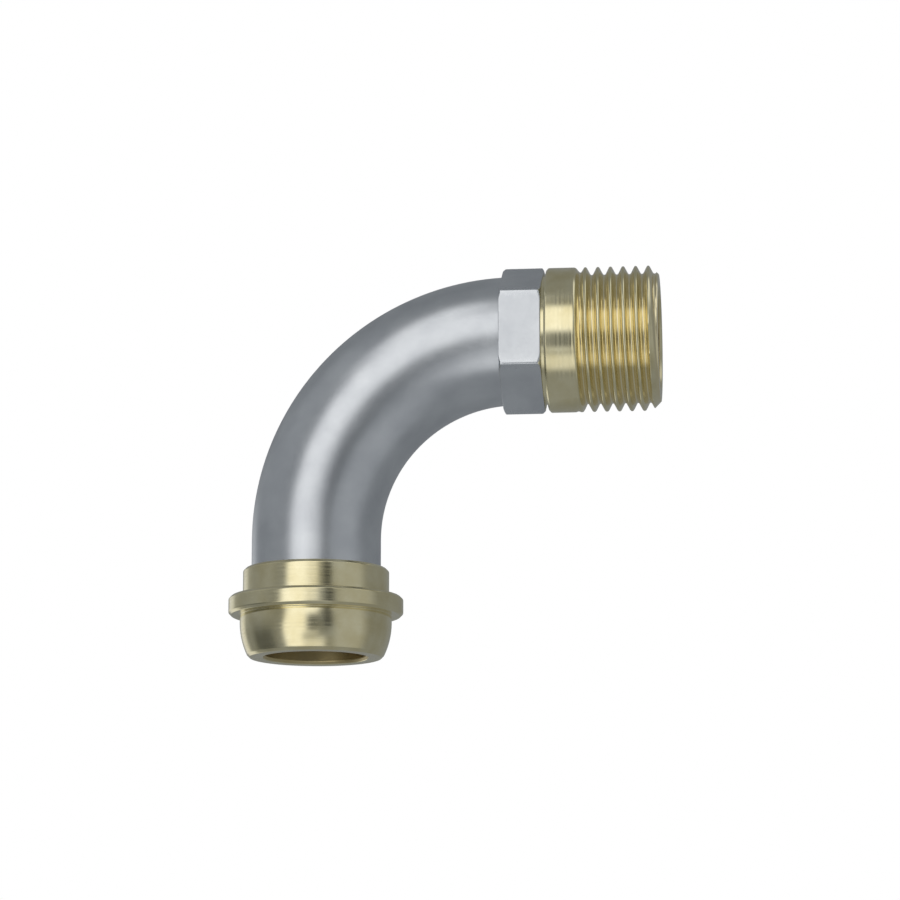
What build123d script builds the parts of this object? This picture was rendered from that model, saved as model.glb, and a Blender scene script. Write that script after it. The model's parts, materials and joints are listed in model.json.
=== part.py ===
from build123d import *
from math import asin, cos, degrees, pi, radians, sqrt, tan
import os

# Radiator elbow: one turned brass tail with a water way through it, bent to a quarter circle.
# The seat leg runs along Z and takes the union nut of a valve, the thread leg runs out along +X
# and screws into the radiator. The origin is on the seat leg's axis, half way through the collar.
# All sizes are in millimetres and all angles in degrees.

# Tube and bend
tube_diameter = 18.6
tube_wall = 2.05
bend_radius = 28.65  # to the middle of the tube
straight_length = 4.35  # tube between the neck and the start of the bend

# Union end: each step is how far one turned diameter stands out from the one before it
neck_step = 1.2  # neck over tube
neck_length = 4.05
collar_step = 2.05  # collar over neck, the face that the union nut pulls on
collar_thickness = 2.7
seat_step = 1.65  # collar over ball seat
seat_drop = 0.95  # how far the ball's centre lies below the collar
seat_lip = 2.18  # width of the flat ring round the bore
edge_chamfer = 0.4  # outside corners of the neck, the collar and the ball's end

# Spanner hexagon
hex_sides = 6
hex_flat_rise = 0.1  # how far the middle of a flat stands out from the tube
hex_length = 6.0
hex_setback = 1.45  # how far the hexagon reaches back over the end of the bend
corner_chamfer = 0.6  # how far the corners are turned down at both ends
corner_chamfer_angle = 30.0

# Threaded end, a half inch pipe thread with a plain shank behind it
thread_diameter = 20.955
thread_depth = 1.162
relief_width = 0.5  # groove between the hexagon and the shank, down to the tube
shank_length = 3.7
thread_length = 12.45
shank_chamfer = 0.3
point_clearance = 0.1  # how far the end's chamfer goes below the thread's root

# Both mouths of the water way
mouth_chamfer = 0.4

# Radii
tube_radius = tube_diameter / 2
bore_radius = tube_radius - tube_wall
neck_radius = tube_radius + neck_step
collar_radius = neck_radius + collar_step
seat_radius = collar_radius - seat_step
thread_radius = thread_diameter / 2
hex_flat_radius = tube_radius + hex_flat_rise
hex_corner_radius = hex_flat_radius / cos(pi / hex_sides)

# Heights along the seat leg
collar_top = collar_thickness / 2
collar_bottom = -collar_thickness / 2
neck_top = collar_top + neck_length
bend_start = neck_top + straight_length
thread_axis_height = bend_start + bend_radius
seat_center = collar_bottom - seat_drop
seat_end_radius = bore_radius + seat_lip
ball_end_radius = seat_end_radius + edge_chamfer
ball_end = seat_center - sqrt(seat_radius**2 - ball_end_radius**2)
seat_end = ball_end - edge_chamfer

# Places along the thread leg
hex_back = bend_radius - hex_setback
hex_front = hex_back + hex_length
shank_start = hex_front + relief_width
thread_start = shank_start + shank_length
thread_end = thread_start + thread_length
point_chamfer = thread_depth + point_clearance

quarter_turn = 90
seat_axis = Axis.Z
thread_axis = Axis((0, 0, thread_axis_height), (1, 0, 0))
bend_axis = Axis((bend_radius, 0, bend_start), (0, 1, 0))


def turned(outline, axis):
    """Solid of revolution of a closed outline drawn in the plane of the bend."""
    return revolve(Plane.XZ * make_face(outline), axis)


def bent(radius):
    """Quarter of a ring: a round section carried from the seat leg to the thread leg."""
    section = Pos(0, 0, bend_start) * Circle(radius)
    return revolve(section, bend_axis, quarter_turn)


def union_end():
    """Tube stub, neck, collar and ball seat as one turned outline."""
    ball_top_angle = degrees(asin((collar_bottom - seat_center) / seat_radius))
    ball_end_angle = degrees(asin((ball_end - seat_center) / seat_radius))
    ball = CenterArc((0, seat_center), seat_radius, ball_top_angle, ball_end_angle - ball_top_angle)
    shoulders = Polyline(
        (tube_radius, bend_start),
        (tube_radius, neck_top),
        (neck_radius - edge_chamfer, neck_top),
        (neck_radius, neck_top - edge_chamfer),
        (neck_radius, collar_top),
        (collar_radius - edge_chamfer, collar_top),
        (collar_radius, collar_top - edge_chamfer),
        (collar_radius, collar_bottom + edge_chamfer),
        (collar_radius - edge_chamfer, collar_bottom),
        ball @ 0,
    )
    core = Polyline(
        ball @ 1,
        (seat_end_radius, seat_end),
        (0, seat_end),
        (0, bend_start),
        (tube_radius, bend_start),
    )
    return turned(shoulders + ball + core, seat_axis)


def threaded_end():
    """Plain shank and thread blank, with a pointed end for starting the thread."""
    outline = Polyline(
        (bend_radius, thread_axis_height),
        (bend_radius, thread_axis_height + tube_radius),
        (shank_start, thread_axis_height + tube_radius),
        (shank_start, thread_axis_height + thread_radius - shank_chamfer),
        (shank_start + shank_chamfer, thread_axis_height + thread_radius),
        (thread_end - point_chamfer, thread_axis_height + thread_radius),
        (thread_end, thread_axis_height + thread_radius - point_chamfer),
        (thread_end, thread_axis_height),
        close=True,
    )
    return turned(outline, thread_axis)


def spanner_hexagon():
    """Hexagon milled on the tube with one flat square to the front, and its corners turned back."""
    flat_to_front = 180 / hex_sides
    section = RegularPolygon(hex_flat_radius, hex_sides, False, flat_to_front)
    facing = Plane((hex_back, 0, thread_axis_height), x_dir=(0, 1, 0), z_dir=(1, 0, 0))
    prism = extrude(facing * section, hex_length)
    corner_height = thread_axis_height + hex_corner_radius
    chamfer_run = corner_chamfer * tan(radians(corner_chamfer_angle))
    envelope = Polyline(
        (hex_back, thread_axis_height),
        (hex_back, corner_height - corner_chamfer),
        (hex_back + chamfer_run, corner_height),
        (hex_front - chamfer_run, corner_height),
        (hex_front, corner_height - corner_chamfer),
        (hex_front, thread_axis_height),
        close=True,
    )
    return prism & turned(envelope, thread_axis)


def water_way():
    """The bore through both legs and the bend, with a chamfered mouth at each end."""
    seat_leg = Polyline(
        (0, bend_start),
        (bore_radius, bend_start),
        (bore_radius, seat_end + mouth_chamfer),
        (bore_radius + mouth_chamfer, seat_end),
        (0, seat_end),
        close=True,
    )
    thread_leg = Polyline(
        (bend_radius, thread_axis_height),
        (bend_radius, thread_axis_height + bore_radius),
        (thread_end - mouth_chamfer, thread_axis_height + bore_radius),
        (thread_end, thread_axis_height + bore_radius + mouth_chamfer),
        (thread_end, thread_axis_height),
        close=True,
    )
    return turned(seat_leg, seat_axis) + bent(bore_radius) + turned(thread_leg, thread_axis)


blank = union_end() + bent(tube_radius) + spanner_hexagon() + threaded_end()
elbow = blank - water_way()

os.makedirs("parts", exist_ok=True)
export_step(elbow, "parts/elbow.step")
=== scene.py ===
"""Radiator elbow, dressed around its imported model.

The fitting is one turned brass tail, bent to a quarter circle. Its tube and spanner hexagon carry a satin
nickel plate. The neck, collar and ball seat at one end and the shank and pipe thread at the other are bare
turned brass. One closed surface, with the turns of the thread, stands for the plain solid.
"""

import json
from collections import namedtuple
from types import SimpleNamespace

import bpy
import numpy as np
from bpy.props import FloatProperty, FloatVectorProperty, PointerProperty
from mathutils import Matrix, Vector


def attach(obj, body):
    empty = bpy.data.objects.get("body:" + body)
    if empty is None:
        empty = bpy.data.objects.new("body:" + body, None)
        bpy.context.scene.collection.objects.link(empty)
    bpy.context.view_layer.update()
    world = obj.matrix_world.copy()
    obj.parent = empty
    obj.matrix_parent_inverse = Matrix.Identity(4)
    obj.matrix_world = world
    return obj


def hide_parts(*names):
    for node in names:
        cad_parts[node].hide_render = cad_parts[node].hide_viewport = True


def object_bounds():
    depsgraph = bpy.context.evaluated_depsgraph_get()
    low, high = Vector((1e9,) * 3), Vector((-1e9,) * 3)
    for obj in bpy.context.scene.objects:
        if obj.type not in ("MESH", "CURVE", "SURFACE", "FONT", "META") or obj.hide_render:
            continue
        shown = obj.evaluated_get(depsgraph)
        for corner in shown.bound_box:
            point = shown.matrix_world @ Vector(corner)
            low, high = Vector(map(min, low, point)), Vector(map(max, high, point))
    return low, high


bl_info = {
    "name": "Radiator elbow",
    "version": (1, 0, 0),
    "blender": (4, 5, 0),
    "location": "View3D > Sidebar > Elbow",
    "description": "Builds a plated radiator elbow with bare brass ends, and a small studio round it",
    "category": "Add Mesh",
}

MM = 0.001
TAU = 2 * np.pi

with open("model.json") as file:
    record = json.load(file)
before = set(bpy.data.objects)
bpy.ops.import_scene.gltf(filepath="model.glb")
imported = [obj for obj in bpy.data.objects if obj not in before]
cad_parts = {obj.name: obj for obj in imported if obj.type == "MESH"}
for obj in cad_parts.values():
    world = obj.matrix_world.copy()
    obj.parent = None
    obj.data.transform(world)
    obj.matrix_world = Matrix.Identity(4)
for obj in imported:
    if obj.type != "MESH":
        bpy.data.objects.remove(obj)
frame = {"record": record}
cad_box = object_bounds()
mounts = {mount["name"]: mount for mount in frame["record"]["mounts"]}
thread_radius_mm = mounts["radiator_thread"]["dims"]["r_mm"]
collar_radius_mm = mounts["union_collar"]["dims"]["r_mm"]
thread_axis_height = mounts["radiator_thread"]["pos_m"][2]
seat_end = mounts["ball_seat"]["pos_m"][2]
thread_end = cad_box[1].x

FRONT = TAU / 4  # angle round a leg at which its front lies
HEX_SIDES = 6
COLUMNS = 228  # a multiple of the hexagon's sides, so that each corner has a column of its own
CROWDING = 0.5  # how far the columns draw together at the hexagon's corners, from 0 to 1
EASE_STEPS = 5  # rows over one eased corner
GUARD = 1.6  # where the rows that keep the flats flat lie, in reaches from a corner
BALL_MARGIN = 4  # eases left free at both ends of the ball's arc
BALL_ROWS = 18
BEND_ROWS = 49
HEX_ROWS = 29
HEX_ROW_POWER = 2.2  # how strongly the hexagon's rows draw together at its faces
BURNISH_WIDTH = 0.5 * MM  # how far the burnish reaches from a corner of the hexagon
BURNISH = 0.08  # how much smoother the hexagon's corners are than its flats
ROUND_OFF = 0.004 * MM  # well over the error of a sum, well under any size
BORE_BEND_ROWS = 31
ROWS_PER_PITCH = 24
SHARP_ANGLE = np.radians(38)
PLATE, BRASS, BORE = range(3)  # material slots of the fitting
SHARE, FIRST, SECOND, MIXED = 0, 6, 7, 2  # sockets of a colour mix, the last one its output


def linear(hex_colour):
    """Linear RGBA of an sRGB hex colour: c / 12.92 up to 0.04045, then ((c + 0.055) / 1.055) ^ 2.4."""
    channels = np.array([int(hex_colour[start : start + 2], 16) for start in (1, 3, 5)]) / 255
    curve = ((channels + 0.055) / 1.055) ** 2.4
    return (*np.where(channels <= 0.04045, channels / 12.92, curve).tolist(), 1.0)


def length(name, millimetres, description):
    """A size property, kept in metres."""
    default = millimetres * MM
    return FloatProperty(name=name, description=description, default=default, precision=5, unit="LENGTH")


def angle(name, degrees, description):
    """An angle property, kept in radians."""
    default = float(np.radians(degrees))
    return FloatProperty(name=name, description=description, default=default, subtype="ANGLE")


def colour(name, hex_colour, description):
    """A colour property, kept as linear RGBA."""
    default = linear(hex_colour)
    return FloatVectorProperty(
        name=name, description=description, default=default, size=4, min=0, max=1, subtype="COLOR"
    )


def share(name, default, description):
    """A property from 0 to 1."""
    return FloatProperty(name=name, description=description, default=default, min=0, max=1, subtype="FACTOR")


class ElbowSizes(bpy.types.PropertyGroup):
    """Sizes of the fitting."""

    tube_diameter: length("Tube diameter", 18.6, "Outside of the bent tube")
    tube_wall: length("Tube wall", 2.05, "From the outside of the tube to the water way")
    bend_radius: length("Bend radius", 28.65, "From the centre of the bend to the middle of the tube")
    neck_diameter: length("Neck diameter", 21.0, "Bare step between the tube and the collar")
    neck_length: length("Neck length", 4.05, "Height of the neck over the collar")
    collar_diameter: length("Collar diameter", 2 * collar_radius_mm, "The collar that a union nut pulls on")
    collar_thickness: length("Collar thickness", 2.7, "Height of the collar")
    ball_diameter: length("Ball diameter", 21.8, "Sphere of the seat under the collar")
    ball_drop: length("Ball drop", 0.95, "How far the ball's centre lies below the collar")
    edge_chamfer: length("Edge chamfer", 0.4, "On the corners of the neck, the collar and the ball's end")
    hex_across_flats: length("Across flats", 18.8, "Width of the spanner hexagon")
    hex_length: length("Hexagon length", 6.0, "Along the thread leg")
    hex_setback: length("Hexagon setback", 1.45, "How far the hexagon reaches back over the end of the bend")
    corner_chamfer: length("Corner chamfer", 0.6, "How far the hexagon's corners are turned down")
    corner_angle: angle("Corner chamfer angle", 30.0, "Of the turned down corners to the hexagon's faces")
    relief_width: length("Relief width", 0.5, "Groove between the hexagon and the shank")
    shank_chamfer: length("Shank chamfer", 0.3, "Where the plain shank starts")
    thread_diameter: length("Thread diameter", 2 * thread_radius_mm, "Over the crests of the thread")
    thread_length: length("Thread length", 12.45, "From the plain shank to the end")
    thread_pitch: length("Thread pitch", 25.4 / 14, "14 turns to the inch")
    thread_depth: length("Thread depth", 1.162, "From crest to root")
    thread_angle: angle("Thread angle", 55.0, "Between the two flanks of a turn")
    point_chamfer: length("Point chamfer", 1.262, "On the end, down past the thread's root")
    mouth_chamfer: length("Mouth chamfer", 0.4, "At both mouths of the water way")
    edge_ease: length("Edge ease", 0.09, "How far the turned edges are eased on both sides")


class ElbowFinish(bpy.types.PropertyGroup):
    """Colours and gloss of the fitting."""

    plate_pale: colour("Plate, pale", "#D6D9DC", "Nickel plate where it is brightest")
    plate_deep: colour("Plate, deep", "#CACDD1", "Nickel plate in its clouds")
    plate_roughness: share("Plate roughness", 0.31, "Of the satin plate")
    brass_clean: colour("Brass, clean", "#EDE4BE", "Freshly turned brass")
    brass_aged: colour("Brass, aged", "#DFD3A6", "Brass with a thin tarnish")
    # Lighter brass for the thread's grooves: untarnished there, and also a painted lightening against the
    # shade of light bouncing between the flanks
    groove_brass_lightened: colour("Brass, cut", "#ECE0B8", "Bright brass in the grooves of the thread")
    brass_roughness: share("Brass roughness", 0.17, "Of the turned ends")
    bore_colour: colour("Bore", "#A89058", "Brass inside the water way")
    bore_roughness: share("Bore roughness", 0.42, "Of the drilled water way")


class ElbowStage(bpy.types.PropertyGroup):
    """Camera, floor and light."""

    camera_azimuth: angle("Camera azimuth", 6.0, "To the right of the front")
    camera_elevation: angle("Camera elevation", -11.0, "Over the level of the fitting, below it if negative")
    aim_right: length("Aim right", 0.71, "To the right of the middle of the fitting's box")
    aim_up: length("Aim up", 1.63, "Above the middle of the fitting's box")
    distance: length("Camera distance", 467.0, "From the camera to what it aims at")
    lens: FloatProperty(name="Lens", description="Focal length", default=129.4, unit="CAMERA")
    floor_drop: length("Floor drop", 110.0, "From the ball seat down to the floor")
    floor_colour: colour("Floor", "#FEFEFE", "White paper")
    cloth_glow: share("Tent cloth", 0.27, "Brightness of the tent's cloth between its windows")


def lay_out(sizes):
    """Radii and places worked out from the sizes. The seat leg runs along Z and the thread leg along X."""
    p = SimpleNamespace()
    p.tube = sizes.tube_diameter / 2
    p.bore = p.tube - sizes.tube_wall
    p.neck = sizes.neck_diameter / 2
    p.collar = sizes.collar_diameter / 2
    p.ball = sizes.ball_diameter / 2
    p.thread = sizes.thread_diameter / 2
    p.bend_start = thread_axis_height - sizes.bend_radius
    p.collar_top = sizes.collar_thickness / 2
    p.collar_bottom = -p.collar_top
    p.neck_top = p.collar_top + sizes.neck_length
    p.ball_centre = p.collar_bottom - sizes.ball_drop
    p.hex_back = sizes.bend_radius - sizes.hex_setback
    p.hex_front = p.hex_back + sizes.hex_length
    p.shank_start = p.hex_front + sizes.relief_width
    p.thread_start = thread_end - sizes.thread_length
    p.mouth = p.bore + sizes.mouth_chamfer
    return p


def angles_round():
    """Angles of the columns, from the outside of the bend towards the front.

    With u in even steps from one corner of the hexagon, an angle is
    u - crowding / sides * sin(sides * (u - corner)). So the steps are short at the corners and long on the
    flats.
    """
    corner = FRONT + TAU / HEX_SIDES / 2
    u = corner + np.linspace(0, TAU, COLUMNS, endpoint=False)
    return u - CROWDING / HEX_SIDES * np.sin(HEX_SIDES * (u - corner))


def points_of(x, y, z):
    """Points of a grid from its three coordinates."""
    return np.stack(np.broadcast_arrays(x, y, z), axis=-1)


def on_seat_leg(height, radius, around):
    """Circles round the seat leg: each lies at a height, and its points a radius from the leg's axis."""
    return points_of(-radius * np.cos(around), -radius * np.sin(around), height)


def on_bend(turn, radius, around, sizes, p):
    """Circles round the bend, from the seat leg to the thread leg.

    A point at an angle of the tube lies bend radius + radius * cos(angle) from the bend's centre, and is
    carried round that centre by its circle's turn.
    """
    reach = sizes.bend_radius + radius * np.cos(around)
    along = sizes.bend_radius - reach * np.cos(turn)
    return points_of(along, -radius * np.sin(around), p.bend_start + reach * np.sin(turn))


def on_thread_leg(place, radius, around):
    """Circles round the thread leg: each lies at a place along it, and its points a radius from its axis."""
    return points_of(place, -radius * np.sin(around), thread_axis_height + radius * np.cos(around))


def eased(corners, reach):
    """Open outline through (place, radius) corners, with its inner corners eased, as two columns of numbers.

    A corner becomes the parabola corner + (1 - t)^2 * back + t^2 * ahead, where back and ahead go a reach
    along its two sides. One more point past each end of the parabola keeps the flats flat.
    """
    corners = np.array(corners, float)
    middle = corners[1:-1, None]
    back = corners[:-2, None] - middle
    ahead = corners[2:, None] - middle
    back *= reach / np.linalg.norm(back, axis=-1, keepdims=True)
    ahead *= reach / np.linalg.norm(ahead, axis=-1, keepdims=True)
    t = np.linspace(0, 1, EASE_STEPS)[:, None]
    bends = middle + (1 - t) ** 2 * back + t**2 * ahead
    bends = np.concatenate([middle + GUARD * back, bends, middle + GUARD * ahead], axis=1)
    outline = np.concatenate([corners[:1], bends.reshape(-1, 2), corners[-1:]])
    return outline[:, :1], outline[:, 1:]


def smooth_step(t):
    """0 below 0, 1 above 1, and 3t^2 - 2t^3 between."""
    t = np.clip(t, 0, 1)
    return t * t * (3 - 2 * t)


def soft_min(a, b, width):
    """The smaller of two values, with the crease between them rounded over a width."""
    near = np.clip(width - np.abs(a - b), 0, None)
    return np.minimum(a, b) - near**2 / (4 * width)


def union_end(sizes, p, around):
    """End face, ball seat, collar and neck, as rows from the middle of the end face to the start of the bend.

    The ball's rows are a circle about its centre, radius * (cos, sin), from its end face to the collar.
    """
    c = sizes.edge_chamfer
    ball_end = seat_end + c
    end_radius = np.sqrt(p.ball**2 - (ball_end - p.ball_centre) ** 2)
    collar_meets = np.sqrt(p.ball**2 - (p.collar_bottom - p.ball_centre) ** 2)
    low = np.arctan2(ball_end - p.ball_centre, end_radius)
    high = np.arctan2(p.collar_bottom - p.ball_centre, collar_meets)
    margin = BALL_MARGIN * sizes.edge_ease / p.ball
    arc = np.linspace(low + margin, high - margin, BALL_ROWS)
    ball = p.ball_centre + p.ball * np.sin(arc), p.ball * np.cos(arc)
    rim = eased(
        [
            (seat_end, (p.mouth + end_radius) / 2),
            (seat_end, end_radius - c),
            (ball_end, end_radius),
            (ball[0][0], ball[1][0]),
        ],
        sizes.edge_ease,
    )
    shoulders = eased(
        [
            (ball[0][-1], ball[1][-1]),
            (p.collar_bottom, collar_meets),
            (p.collar_bottom, p.collar - c),
            (p.collar_bottom + c, p.collar),
            (p.collar_top - c, p.collar),
            (p.collar_top, p.collar - c),
            (p.collar_top, p.neck),
            (p.neck_top - c, p.neck),
            (p.neck_top, p.neck - c),
            (p.neck_top, p.tube),
            (p.bend_start, p.tube),
        ],
        sizes.edge_ease,
    )
    height = np.concatenate([rim[0][:-1], ball[0][:, None], shoulders[0][1:-1]])
    radius = np.concatenate([rim[1][:-1], ball[1][:, None], shoulders[1][1:-1]])
    above_neck = height >= p.neck_top - ROUND_OFF
    on_tube = above_neck & (radius <= p.tube + sizes.edge_ease)
    return on_seat_leg(height, radius, around), np.where(on_tube[:, 0], PLATE, BRASS)


def bent_tube(sizes, p, around):
    """Outside of the bend, as rows that turn from the seat leg to the hexagon's back face.

    A point's last turn is where the plane of that face cuts its circle: cos(turn) = setback / reach.
    """
    reach = sizes.bend_radius + p.tube * np.cos(around)
    last_turn = np.arccos(sizes.hex_setback / reach)
    turn = np.linspace(0, 1, BEND_ROWS)[:, None] * last_turn
    return on_bend(turn, p.tube, around, sizes, p), np.full(BEND_ROWS, PLATE)


def hexagon_radius(depth, around, sizes):
    """Distance of the hexagon's surface from its axis, at a depth from its nearer face.

    A flat lies flat radius / cos(angle from its middle) out. The cone of the turned down corners, which
    widens with depth, cuts it. The edge of the face is a quarter circle.
    """
    flat = sizes.hex_across_flats / 2
    side = TAU / HEX_SIDES
    off_middle = np.abs((around - FRONT + side / 2) % side - side / 2)
    prism = soft_min(flat / np.cos(off_middle), flat / np.cos(side - off_middle), 2 * sizes.edge_ease)
    cone = flat / np.cos(side / 2) - sizes.corner_chamfer + depth / np.tan(sizes.corner_angle)
    ease = sizes.edge_ease
    rounding = ease - np.sqrt(ease**2 - np.clip(ease - depth, 0, ease) ** 2)
    return soft_min(prism, cone, ease) - rounding


def spanner_hexagon(sizes, p, around):
    """Back face, flats and front face of the hexagon, as rows along the thread leg.

    With t in even steps from -1 to 1, a row lies sign(t) * (1 - (1 - |t|)^power) half lengths from the
    middle, so the rows draw together at both faces. Each face has one more row, half way up from the tube.
    """
    t = np.linspace(-1, 1, HEX_ROWS)[:, None]
    from_middle = np.sign(t) * (1 - (1 - np.abs(t)) ** HEX_ROW_POWER)
    place = (p.hex_back + p.hex_front) / 2 + from_middle * sizes.hex_length / 2
    depth = np.minimum(place - p.hex_back, p.hex_front - place)
    radius = hexagon_radius(np.clip(depth, 0, None), around, sizes)
    back = on_thread_leg(p.hex_back, (p.tube + radius[:1]) / 2, around)
    front = on_thread_leg(p.hex_front, (p.tube + radius[-1:]) / 2, around)
    rows = np.concatenate([back, on_thread_leg(place, radius, around), front])
    return rows, np.full(len(rows), PLATE)


def plain_shank(sizes, p, around):
    """Relief groove, chamfer and plain shank, as rows along the thread leg.

    The groove is narrow, so its corners are eased half as far as the others.
    """
    place, radius = eased(
        [
            (p.hex_front, p.tube + 2 * sizes.edge_ease),
            (p.hex_front, p.tube),
            (p.shank_start, p.tube),
            (p.shank_start, p.thread - sizes.shank_chamfer),
            (p.shank_start + sizes.shank_chamfer, p.thread),
            (p.thread_start, p.thread),
        ],
        sizes.edge_ease / 2,
    )
    rows = on_thread_leg(place[1:-1], radius[1:-1], around)
    return rows, np.full(len(rows), BRASS)


def thread_form(place, around, sizes, p):
    """Height of the pipe thread over its pitch line, for a right-hand helix.

    A turn's flanks fall off evenly from its crest, and crest and root are arcs that touch both flanks:
    depth / 2 - r + sqrt(r^2 - d^2), while the distance d from the middle of the arc is under
    r * cos(half angle). The root is the crest upside down.
    """
    half_angle = sizes.thread_angle / 2
    pitch = sizes.thread_pitch
    sharp_height = pitch / 2 / np.tan(half_angle)
    rounding = (sharp_height - sizes.thread_depth) / 2 / (1 / np.sin(half_angle) - 1)
    turns = (place - p.thread_start) / pitch - around / TAU
    from_crest = np.abs((turns + 0.5) % 1 - 0.5) * pitch
    nearest = np.minimum(from_crest, pitch / 2 - from_crest)
    arc = sizes.thread_depth / 2 - rounding + np.sqrt(np.clip(rounding**2 - nearest**2, 0, None))
    flank = (pitch / 4 - nearest) / np.tan(half_angle)
    height = np.where(nearest < rounding * np.cos(half_angle), arc, flank)
    return np.where(from_crest < pitch / 4, height, -height)


def pipe_thread(sizes, p, around):
    """Turns of the thread, as rows along the thread leg, with how high each point lies from root to crest.

    The turns grow out of the shank over one pitch, and the pointed end cuts them off in a cone.
    """
    count = round(sizes.thread_length / sizes.thread_pitch * ROWS_PER_PITCH)
    place = np.linspace(p.thread_start, thread_end, count)[:, None]
    run_in = smooth_step((place - p.thread_start) / sizes.thread_pitch)
    below_crest = sizes.thread_depth / 2 - thread_form(place, around, sizes, p)
    cone = p.thread - sizes.point_chamfer + (thread_end - place)
    radius = soft_min(p.thread - run_in * below_crest, cone, sizes.edge_ease)
    crest = 1 - run_in * below_crest / sizes.thread_depth
    return on_thread_leg(place, radius, around), np.full(count, BRASS), crest


def water_way(sizes, p, around):
    """End face of the thread leg, the bore back to the seat leg, and its mouth there, as rows.

    The end faces and the rims of both mouths are turned brass, and the rest is drilled.
    """
    end_radius = p.thread - sizes.point_chamfer
    place, radius = eased(
        [
            (thread_end, end_radius),
            (thread_end, p.mouth),
            (thread_end - sizes.mouth_chamfer, p.bore),
            (sizes.bend_radius, p.bore),
        ],
        sizes.edge_ease,
    )
    thread_leg = on_thread_leg(place[1:-1], radius[1:-1], around)
    turn = np.linspace(TAU / 4, 0, BORE_BEND_ROWS)[:, None]
    bend = on_bend(turn, p.bore, around, sizes, p)
    height, radius = eased(
        [
            (p.bend_start, p.bore),
            (seat_end + sizes.mouth_chamfer, p.bore),
            (seat_end, p.mouth),
            (seat_end, p.ball),
        ],
        sizes.edge_ease,
    )
    seat_leg = on_seat_leg(height[1:-1], radius[1:-1], around)
    rows = np.concatenate([thread_leg, bend, seat_leg])
    finish = np.full(len(rows), BORE)
    finish[: len(thread_leg) // 2] = BRASS
    finish[-len(seat_leg) // 2 :] = BRASS
    return rows, finish


def grid_faces(rows, columns):
    """Corners of the four-sided faces of a grid that closes on itself both ways."""
    number = np.arange(rows * columns).reshape(rows, columns)
    right = np.roll(number, -1, axis=1)
    up = np.roll(number, -1, axis=0)
    across = np.roll(right, -1, axis=0)
    return np.stack([number, right, across, up], axis=-1).reshape(-1, 4)


def put_values(mesh, name, values):
    """Gives each point of a mesh a number that its materials can read."""
    mesh.attributes.new(name, "FLOAT", "POINT").data.foreach_set("value", values.astype(np.float32).ravel())


def elbow_mesh(sizes):
    """The whole fitting as one closed grid: the outline's rows, once round its wall, by the columns.

    Its points also carry along, the length of the outline up to their row in metres, crest, the height in the
    thread from 0 to 1, and corner, exp(-(distance / width)^2) from the hexagon's corners.
    """
    p = lay_out(sizes)
    around = angles_round()
    thread, thread_finish, thread_crest = pipe_thread(sizes, p, around)
    stretches = [
        union_end(sizes, p, around),
        bent_tube(sizes, p, around),
        spanner_hexagon(sizes, p, around),
        plain_shank(sizes, p, around),
        (thread, thread_finish),
        water_way(sizes, p, around),
    ]
    hexagon, screw = 2, 4  # their places in that list
    starts = np.cumsum([0] + [len(rows) for rows, finish in stretches])
    points = np.concatenate([rows for rows, finish in stretches])
    finishes = np.concatenate([finish for rows, finish in stretches])
    steps = np.linalg.norm(np.diff(points, axis=0), axis=-1).mean(axis=1)
    along = np.concatenate([[0], np.cumsum(steps)])[:, None] * np.ones_like(around)
    crest = np.ones(along.shape)
    crest[starts[screw] : starts[screw + 1]] = thread_crest
    side = TAU / HEX_SIDES
    off_corner = np.abs((around - FRONT) % side - side / 2) * sizes.hex_across_flats / 2
    corner = np.zeros(along.shape)
    corner[starts[hexagon] : starts[hexagon + 1]] = np.exp(-((off_corner / BURNISH_WIDTH) ** 2))

    mesh = bpy.data.meshes.new("plated_elbow")
    mesh.from_pydata(points.reshape(-1, 3), [], grid_faces(len(points), COLUMNS))
    mesh.polygons.foreach_set("material_index", np.repeat(finishes, COLUMNS).astype(np.int32))
    put_values(mesh, "along", along)
    put_values(mesh, "crest", crest)
    put_values(mesh, "corner", corner)
    mesh.shade_smooth()
    mesh.set_sharp_from_angle(angle=SHARP_ANGLE)
    mesh.update()
    return mesh


def node(tree, kind, inputs=None, **settings):
    """Adds a node. Settings are its own choices, and inputs are its sockets' values or what feeds them."""
    made = tree.nodes.new(kind)
    for name, value in settings.items():
        setattr(made, name, value)
    for socket, value in (inputs or {}).items():
        if isinstance(value, bpy.types.NodeSocket):
            tree.links.new(value, made.inputs[socket])
        else:
            made.inputs[socket].default_value = value
    return made


def new_material(name):
    """A material with an empty node tree."""
    material = bpy.data.materials.new(name)
    material.use_nodes = True
    material.node_tree.nodes.clear()
    return material, material.node_tree


def per_metre(millimetres):
    """Scale at which a pattern repeats about once in this many millimetres."""
    return 1 / (millimetres * MM)


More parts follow.
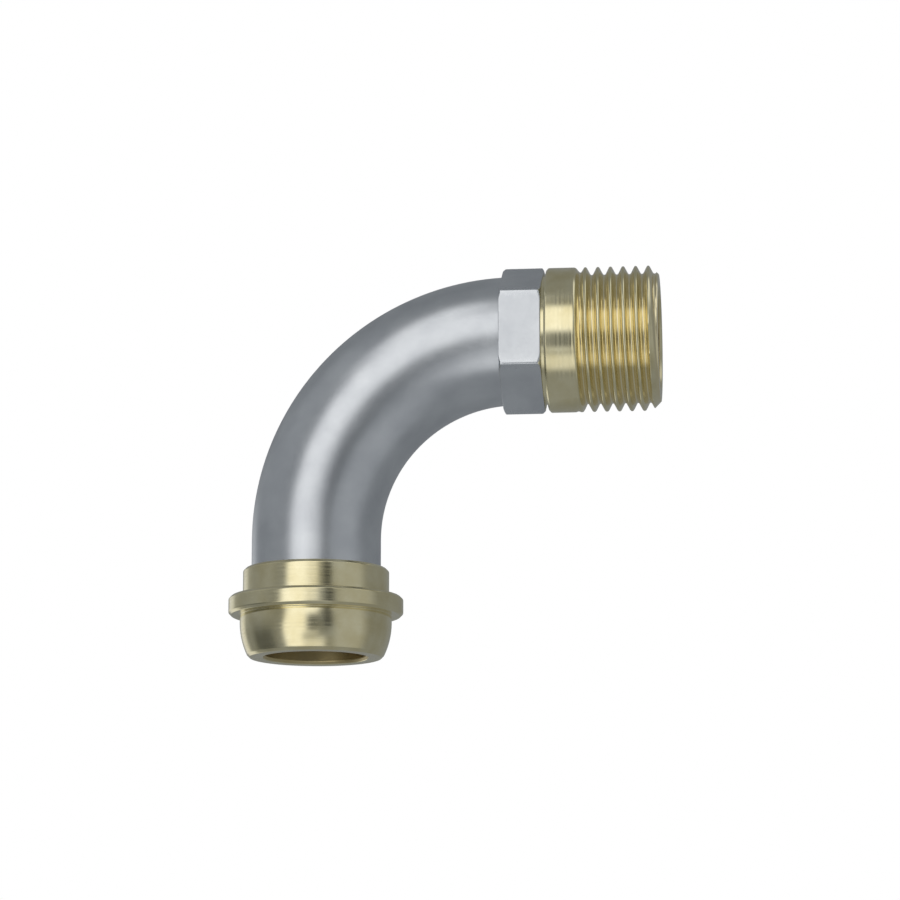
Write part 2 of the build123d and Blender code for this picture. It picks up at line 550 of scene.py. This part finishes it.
def satin_nickel_plate(finish):
    """Nickel plate on a blasted tube: a cool grey metal that spreads reflections into broad soft bands.

    Faint clouds come from the bath. The blasted grain is really some 0.05 mm, and is drawn at 0.4 mm to show.
    The hexagon's corners are burnished by handling.
    """
    material, tree = new_material("satin nickel plate")
    place = node(tree, "ShaderNodeTexCoord").outputs["Object"]
    cloud = node(tree, "ShaderNodeTexNoise", {"Vector": place, "Scale": per_metre(5.0), "Detail": 3.0})
    grain = node(tree, "ShaderNodeTexNoise", {"Vector": place, "Scale": per_metre(0.4), "Detail": 2.0})
    corner = node(tree, "ShaderNodeAttribute", attribute_name="corner")
    clouds = node(
        tree,
        "ShaderNodeMapRange",
        {"Value": cloud.outputs["Fac"], "From Min": 0.35, "From Max": 0.65},
    )
    tone = node(
        tree,
        "ShaderNodeMix",
        {SHARE: clouds.outputs["Result"], FIRST: finish.plate_deep, SECOND: finish.plate_pale},
        data_type="RGBA",
    )
    gloss = node(
        tree,
        "ShaderNodeMapRange",
        {
            "Value": grain.outputs["Fac"],
            "From Min": 0.3,
            "From Max": 0.7,
            "To Min": finish.plate_roughness - 0.03,
            "To Max": finish.plate_roughness + 0.03,
        },
    )
    burnish = node(
        tree,
        "ShaderNodeMath",
        {0: corner.outputs["Fac"], 1: -BURNISH, 2: gloss.outputs["Result"]},
        operation="MULTIPLY_ADD",
    )
    relief = node(
        tree,
        "ShaderNodeBump",
        {"Height": grain.outputs["Fac"], "Strength": 0.12, "Distance": 0.02 * MM},
    )
    shader = node(
        tree,
        "ShaderNodeBsdfPrincipled",
        {
            "Base Color": tone.outputs[MIXED],
            "Metallic": 1.0,
            "Roughness": burnish.outputs["Value"],
            "Normal": relief.outputs["Normal"],
        },
    )
    node(tree, "ShaderNodeOutputMaterial", {"Surface": shader.outputs["BSDF"]})
    return material


def turned_brass(finish):
    """Free-cutting brass, turned: a warm bright metal with fine rings round it where the tool went.

    The tool's feed is really some 0.1 mm, and its rings are drawn 0.3 mm apart to show. A thin tarnish lies
    in clouds, except in the grooves of the thread, which are cut last. Their lighter brass is also a painted
    lightening against the shade of light bouncing between the flanks.
    """
    material, tree = new_material("turned brass")
    place = node(tree, "ShaderNodeTexCoord").outputs["Object"]
    along = node(tree, "ShaderNodeAttribute", attribute_name="along")
    crest = node(tree, "ShaderNodeAttribute", attribute_name="crest")
    feed = node(tree, "ShaderNodeMath", {0: along.outputs["Fac"], 1: per_metre(0.3)}, operation="MULTIPLY")
    rings = node(
        tree,
        "ShaderNodeTexNoise",
        {"W": feed.outputs["Value"], "Scale": 1.0, "Detail": 1.0},
        noise_dimensions="1D",
    )
    cloud = node(tree, "ShaderNodeTexNoise", {"Vector": place, "Scale": per_metre(4.0), "Detail": 4.0})
    tarnish = node(
        tree,
        "ShaderNodeMapRange",
        {"Value": cloud.outputs["Fac"], "From Min": 0.4, "From Max": 0.7},
    )
    clean = node(
        tree,
        "ShaderNodeMix",
        {SHARE: tarnish.outputs["Result"], FIRST: finish.brass_clean, SECOND: finish.brass_aged},
        data_type="RGBA",
    )
    height = node(
        tree,
        "ShaderNodeMapRange",
        {"Value": crest.outputs["Fac"], "From Min": 0.3, "From Max": 0.9},
    )
    # The grooves take the lighter brass, a painted lightening against the shade between the flanks
    tone = node(
        tree,
        "ShaderNodeMix",
        {SHARE: height.outputs["Result"], FIRST: finish.groove_brass_lightened, SECOND: clean.outputs[MIXED]},
        data_type="RGBA",
    )
    gloss = node(
        tree,
        "ShaderNodeMapRange",
        {
            "Value": rings.outputs["Fac"],
            "From Min": 0.3,
            "From Max": 0.7,
            "To Min": finish.brass_roughness - 0.03,
            "To Max": finish.brass_roughness + 0.05,
        },
    )
    relief = node(
        tree,
        "ShaderNodeBump",
        {"Height": rings.outputs["Fac"], "Strength": 0.2, "Distance": 0.01 * MM},
    )
    shader = node(
        tree,
        "ShaderNodeBsdfPrincipled",
        {
            "Base Color": tone.outputs[MIXED],
            "Metallic": 1.0,
            "Roughness": gloss.outputs["Result"],
            "Normal": relief.outputs["Normal"],
        },
    )
    node(tree, "ShaderNodeOutputMaterial", {"Surface": shader.outputs["BSDF"]})
    return material


def drilled_brass(finish):
    """Brass as the drill left it in the water way: dull, with broad uneven rings and brown water marks."""
    material, tree = new_material("drilled brass")
    place = node(tree, "ShaderNodeTexCoord").outputs["Object"]
    along = node(tree, "ShaderNodeAttribute", attribute_name="along")
    feed = node(tree, "ShaderNodeMath", {0: along.outputs["Fac"], 1: per_metre(0.6)}, operation="MULTIPLY")
    rings = node(
        tree,
        "ShaderNodeTexNoise",
        {"W": feed.outputs["Value"], "Scale": 1.0, "Detail": 2.0},
        noise_dimensions="1D",
    )
    marks = node(tree, "ShaderNodeTexNoise", {"Vector": place, "Scale": per_metre(6.0), "Detail": 4.0})
    tone = node(
        tree,
        "ShaderNodeMix",
        {SHARE: marks.outputs["Fac"], FIRST: finish.brass_aged, SECOND: finish.bore_colour},
        data_type="RGBA",
    )
    relief = node(
        tree,
        "ShaderNodeBump",
        {"Height": rings.outputs["Fac"], "Strength": 0.3, "Distance": 0.03 * MM},
    )
    shader = node(
        tree,
        "ShaderNodeBsdfPrincipled",
        {
            "Base Color": tone.outputs[MIXED],
            "Metallic": 1.0,
            "Roughness": finish.bore_roughness,
            "Normal": relief.outputs["Normal"],
        },
    )
    node(tree, "ShaderNodeOutputMaterial", {"Surface": shader.outputs["BSDF"]})
    return material


# Directions in the studio are an azimuth, 0 at the camera and growing to the right, and an elevation.
# A window is a patch of the tent: its middle, half its width and height and the width of its soft edge, all
# in degrees, and its glow. A later window lies over the earlier ones.
Window = namedtuple("Window", "azimuth elevation half_width half_height edge glow")
KEY = Window(-22, 20, 25, 35, 11, 1.17)  # on the left of the camera and above it
WINDOWS = (
    Window(0, -90, 200, 30, 20, 0.31),  # ground
    Window(54, 0, 28, 45, 24, 0.46),  # grey reflector on the right
    Window(-95, 32, 26, 24, 24, 0.39),  # wall on the left
    Window(-86, -28, 20, 20, 18, 0.12),  # dark under that wall
    Window(-12, -34, 26, 13, 14, 0.85),  # white table in front
    Window(100, 48, 28, 18, 14, 0.80),  # right, above
    Window(-130, 8, 14, 16, 12, 0.34),  # behind, on the left
    Window(-143, -24, 12, 24, 12, 0.80),  # behind, on the left and below
    Window(2, 37, 30, 14, 12, 0.92),  # over the camera
    Window(-42, 60, 20, 12, 12, 1.18),  # left, above
    KEY,
    Window(-34, -18, 14, 19, 10, 1.15),  # under the key
    Window(9, 2, 15, 10, 14, 0.24),  # dark on the right of the lens
    Window(18, 16, 6, 22, 9, 0.08),  # dark gap between key and reflector
    Window(-5, 1, 9, 13, 12, 0.18),  # dark lens
)
TENT_RADIUS = 450 * MM
TENT_ROWS = 120
TENT_COLUMNS = 240
TENT_TOP = 89.9  # degrees, just short of the pole, so that no face shrinks to nothing
SHADE_TINT = "#F0F8FF"  # the cool cast of the tent's dark parts
WHITE = "#FFFFFF"
FLOOR_HALF = 3.0  # metres, half the side of the floor
SKY_SHARE = 0.75  # of the light on the floor, the rest is the lamp's
LAMP_HEIGHT = 62  # degrees over the floor
LAMP_SPREAD = 16  # degrees across, for a soft shadow
SENSOR_WIDTH = 36.0  # millimetres


def through(window, azimuth, elevation):
    """How far a direction looks through a window: 1 inside it, fading to 0 over its edge."""
    off = np.abs((azimuth - window.azimuth + 180) % 360 - 180)
    across = smooth_step((window.half_width - off) / window.edge + 0.5)
    upward = smooth_step((window.half_height - np.abs(elevation - window.elevation)) / window.edge + 0.5)
    return across * upward


def towards(azimuth, elevation):
    """Unit vectors of directions given in degrees."""
    a, e = np.radians(azimuth), np.radians(elevation)
    return points_of(np.sin(a) * np.cos(e), -np.cos(a) * np.cos(e), np.sin(e))


def light_tent(cloth_glow):
    """A tent of grey cloth with soft windows, which only the metal's reflections see.

    It is a sphere in even steps of azimuth and elevation. Its glow is that of the cloth, drawn towards each
    window's own glow by how far the direction looks through that window.
    """
    azimuth = np.linspace(-180, 180, TENT_COLUMNS, endpoint=False)
    elevation = np.linspace(-TENT_TOP, TENT_TOP, TENT_ROWS)[:, None]
    glow = np.full((TENT_ROWS, TENT_COLUMNS), cloth_glow)
    for window in WINDOWS:
        glow += through(window, azimuth, elevation) * (window.glow - glow)
    points = towards(azimuth, elevation) * TENT_RADIUS
    faces = grid_faces(TENT_ROWS, TENT_COLUMNS)[:-TENT_COLUMNS]  # all but those from pole to pole
    mesh = bpy.data.meshes.new("light_tent")
    mesh.from_pydata(points.reshape(-1, 3), [], faces)
    put_values(mesh, "glow", glow)
    mesh.shade_smooth()
    material, tree = new_material("tent cloth")
    strength = node(tree, "ShaderNodeAttribute", attribute_name="glow").outputs["Fac"]
    tint = node(
        tree,
        "ShaderNodeMix",
        {SHARE: strength, FIRST: linear(SHADE_TINT), SECOND: linear(WHITE)},
        data_type="RGBA",
    )
    cloth = node(tree, "ShaderNodeEmission", {"Color": tint.outputs[MIXED], "Strength": strength})
    node(tree, "ShaderNodeOutputMaterial", {"Surface": cloth.outputs["Emission"]})
    material.cycles.emission_sampling = "NONE"
    mesh.materials.append(material)
    return add_object("light_tent", mesh)


def white_sky():
    """A world that is plain white to the eye, and gives the floor its share of the light."""
    world = bpy.data.worlds.new("white studio")
    world.use_nodes = True
    tree = world.node_tree
    tree.nodes.clear()
    ray = node(tree, "ShaderNodeLightPath").outputs
    mirrored = node(
        tree, "ShaderNodeMath", {0: ray["Is Glossy Ray"], 1: ray["Is Transmission Ray"]}, operation="MAXIMUM"
    )
    seen = node(
        tree, "ShaderNodeMath", {0: ray["Is Camera Ray"], 1: mirrored.outputs["Value"]}, operation="MAXIMUM"
    )
    strength = node(
        tree, "ShaderNodeMapRange", {"Value": seen.outputs["Value"], "To Min": SKY_SHARE, "To Max": 1.0}
    )
    white = node(
        tree,
        "ShaderNodeBackground",
        {"Color": linear(WHITE), "Strength": strength.outputs["Result"]},
    )
    node(tree, "ShaderNodeOutputWorld", {"Surface": white.outputs["Background"]})
    return world


def paper_floor(height, floor_colour, middle):
    """A wide level sheet of matt white paper."""
    corners = np.array([[-1, -1], [1, -1], [1, 1], [-1, 1]]) * FLOOR_HALF
    points = points_of(corners[:, 0] + middle.x, corners[:, 1] + middle.y, height)
    mesh = bpy.data.meshes.new("floor")
    mesh.from_pydata(points, [], [(0, 1, 2, 3)])
    material, tree = new_material("white paper")
    paper = node(tree, "ShaderNodeBsdfDiffuse", {"Color": floor_colour, "Roughness": 1.0})
    node(tree, "ShaderNodeOutputMaterial", {"Surface": paper.outputs["BSDF"]})
    mesh.materials.append(material)
    return add_object("floor", mesh)


def add_object(name, data):
    """An object at the origin, in the scene."""
    made = bpy.data.objects.new(name, data)
    bpy.context.scene.collection.objects.link(made)
    return made


class ELBOW_OT_make_fitting(bpy.types.Operator):
    """Make the plated elbow with its bare brass ends"""

    bl_idname = "elbow.make_fitting"
    bl_label = "Make fitting"

    def execute(self, context):
        finish = context.scene.elbow_finish
        mesh = elbow_mesh(context.scene.elbow_sizes)
        mesh.materials.append(satin_nickel_plate(finish))
        mesh.materials.append(turned_brass(finish))
        mesh.materials.append(drilled_brass(finish))
        fitting = add_object("plated_elbow", mesh)
        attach(fitting, "root")
        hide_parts("elbow")
        return {"FINISHED"}


class ELBOW_OT_make_stage(bpy.types.Operator):
    """Make the floor, the light and the camera"""

    bl_idname = "elbow.make_stage"
    bl_label = "Make stage"

    def execute(self, context):
        scene = context.scene
        stage = scene.elbow_stage
        scene.view_settings.view_transform = "Standard"
        middle = (cad_box[0] + cad_box[1]) / 2

        floor = paper_floor(seat_end - stage.floor_drop, stage.floor_colour, middle)
        floor.visible_glossy = False
        tent = light_tent(stage.cloth_glow)
        tent.location = middle
        tent.rotation_euler = (-stage.camera_elevation, 0, stage.camera_azimuth)
        tent.visible_camera = False
        tent.visible_diffuse = False
        tent.visible_transmission = False
        tent.visible_shadow = False

        scene.world = white_sky()
        light = bpy.data.lights.new("lamp", "SUN")
        light.angle = np.radians(LAMP_SPREAD)
        light.energy = np.pi * (1 - SKY_SHARE) / np.sin(np.radians(LAMP_HEIGHT))
        lamp = add_object("lamp", light)
        to_lamp = Vector(towards(KEY.azimuth, LAMP_HEIGHT))
        lamp.rotation_euler = to_lamp.to_track_quat("Z", "Y").to_euler()
        lamp.visible_glossy = False

        lens = bpy.data.cameras.new("camera")
        lens.lens = stage.lens
        lens.sensor_width = SENSOR_WIDTH
        camera = add_object("camera", lens)
        aim = middle + Vector((stage.aim_right, 0, stage.aim_up))
        back = Vector(towards(np.degrees(stage.camera_azimuth), np.degrees(stage.camera_elevation)))
        camera.location = aim + back * stage.distance
        camera.rotation_euler = back.to_track_quat("Z", "Y").to_euler()
        scene.camera = camera
        return {"FINISHED"}


class ELBOW_PT_panel(bpy.types.Panel):
    """Sizes, finish and stage of the elbow"""

    bl_label = "Radiator elbow"
    bl_space_type = "VIEW_3D"
    bl_region_type = "UI"
    bl_category = "Elbow"

    def draw(self, context):
        scene = context.scene
        groups = (
            ("Fitting", scene.elbow_sizes),
            ("Finish", scene.elbow_finish),
            ("Stage", scene.elbow_stage),
        )
        for title, group in groups:
            box = self.layout.box()
            box.label(text=title)
            for name in group.__annotations__:
                box.prop(group, name)
        self.layout.operator(ELBOW_OT_make_fitting.bl_idname)
        self.layout.operator(ELBOW_OT_make_stage.bl_idname)


CLASSES = (ElbowSizes, ElbowFinish, ElbowStage, ELBOW_OT_make_fitting, ELBOW_OT_make_stage, ELBOW_PT_panel)


def register():
    for item in CLASSES:
        bpy.utils.register_class(item)
    bpy.types.Scene.elbow_sizes = PointerProperty(type=ElbowSizes)
    bpy.types.Scene.elbow_finish = PointerProperty(type=ElbowFinish)
    bpy.types.Scene.elbow_stage = PointerProperty(type=ElbowStage)


def unregister():
    del bpy.types.Scene.elbow_stage
    del bpy.types.Scene.elbow_finish
    del bpy.types.Scene.elbow_sizes
    for item in reversed(CLASSES):
        bpy.utils.unregister_class(item)


def main():
    """Makes everything in order."""
    register()
    bpy.ops.elbow.make_fitting()
    bpy.ops.elbow.make_stage()


if __name__ == "__main__":
    main()
